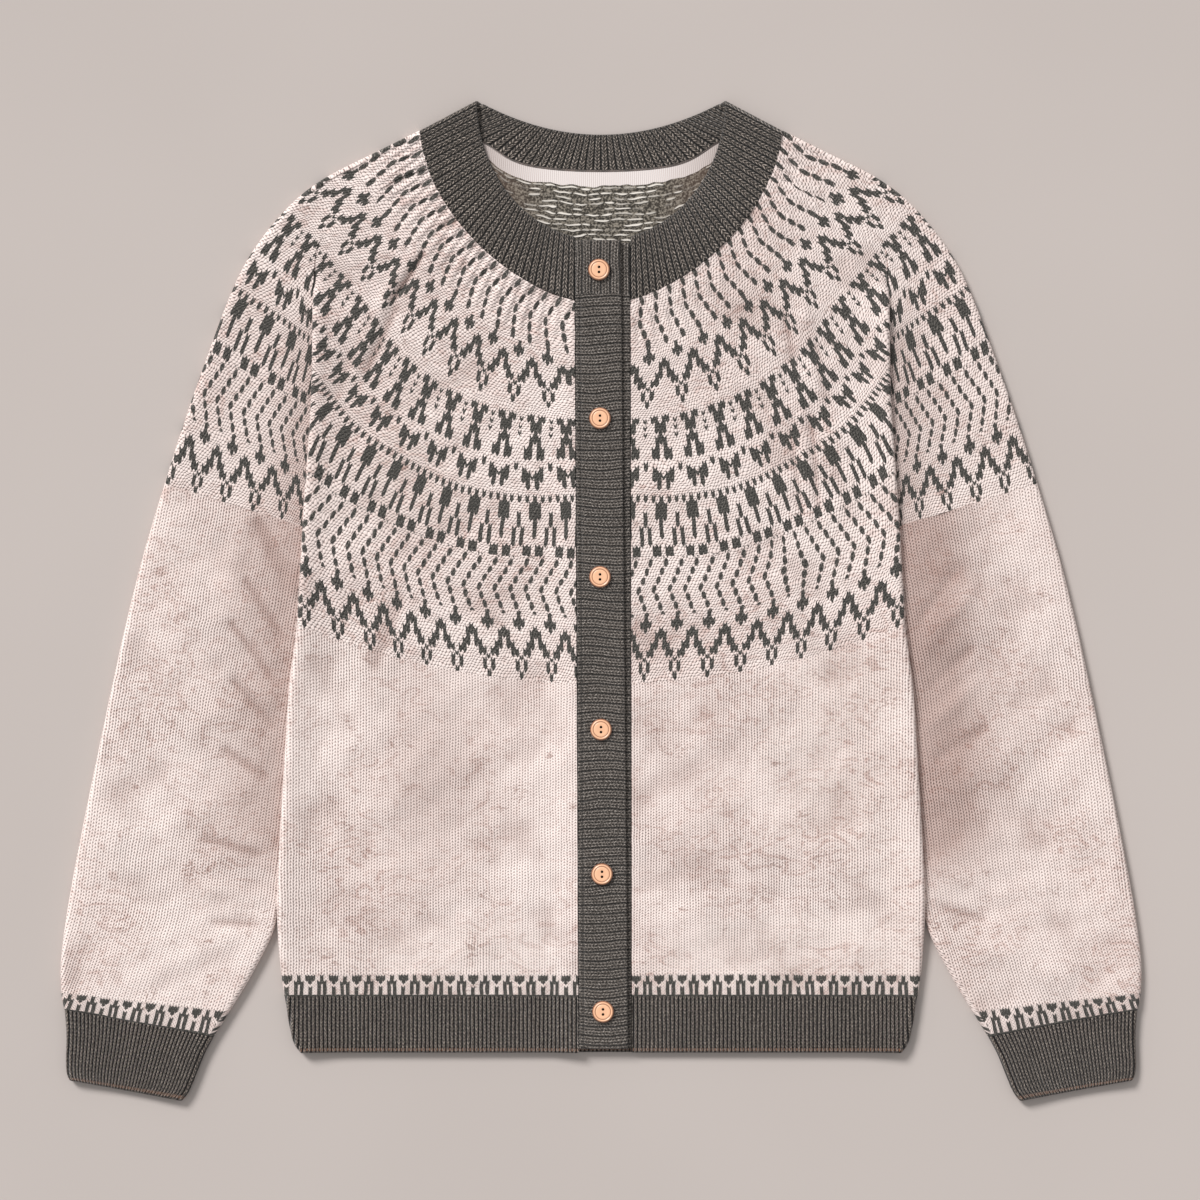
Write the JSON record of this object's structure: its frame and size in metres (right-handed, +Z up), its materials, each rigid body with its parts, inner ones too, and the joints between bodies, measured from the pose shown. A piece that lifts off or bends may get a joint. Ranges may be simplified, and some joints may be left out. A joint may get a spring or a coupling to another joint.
{
  "type": "fair isle cardigan",
  "caption": "Long-sleeved knitted cardigan laid flat and buttoned, with a patterned round yoke, ribbed neckband, front bands, hem and cuffs.",
  "frame": {"origin": "bottom centre of the bounding box, on the surface that the cardigan lies on", "axes": "+X to the right across the front, +Y towards the neck, +Z up away from the surface, out of the front"},
  "size_m": [0.7552, 0.6999, 0.0121],
  "materials": {
    "plain_knit": "matt stocking-stitch wool, pale oatmeal pink with faint brownish mottling",
    "patterned_knit": "matt two-colour stranded wool, charcoal motifs on pale oatmeal",
    "charcoal_rib": "matt one-by-one rib in marled charcoal wool",
    "charcoal_band": "matt sideways rib in marled charcoal wool",
    "button_peach": "satin peach plastic with a shallow rim groove"
  },
  "bodies": {
    "root": {"yoke_front_left": "patterned_knit", "front_left": "plain_knit", "hem_front_left": "charcoal_rib", "yoke_sleeve_left": "patterned_knit", "sleeve_left": "plain_knit", "cuff_left": "charcoal_rib", "neckband_front_left": "charcoal_rib", "yoke_front_right": "patterned_knit", "front_right": "plain_knit", "hem_front_right": "charcoal_rib", "yoke_sleeve_right": "patterned_knit", "sleeve_right": "plain_knit", "cuff_right": "charcoal_rib", "neckband_front_right": "charcoal_rib", "yoke_back": "patterned_knit", "back": "plain_knit", "hem_back": "charcoal_rib", "neckband_back": "charcoal_rib", "button_band": "charcoal_band", "buttonhole_band": "charcoal_band", "button_1": "button_peach", "button_2": "button_peach", "button_3": "button_peach", "button_4": "button_peach", "button_5": "button_peach", "button_6": "button_peach"}
  },
  "joints": []
}
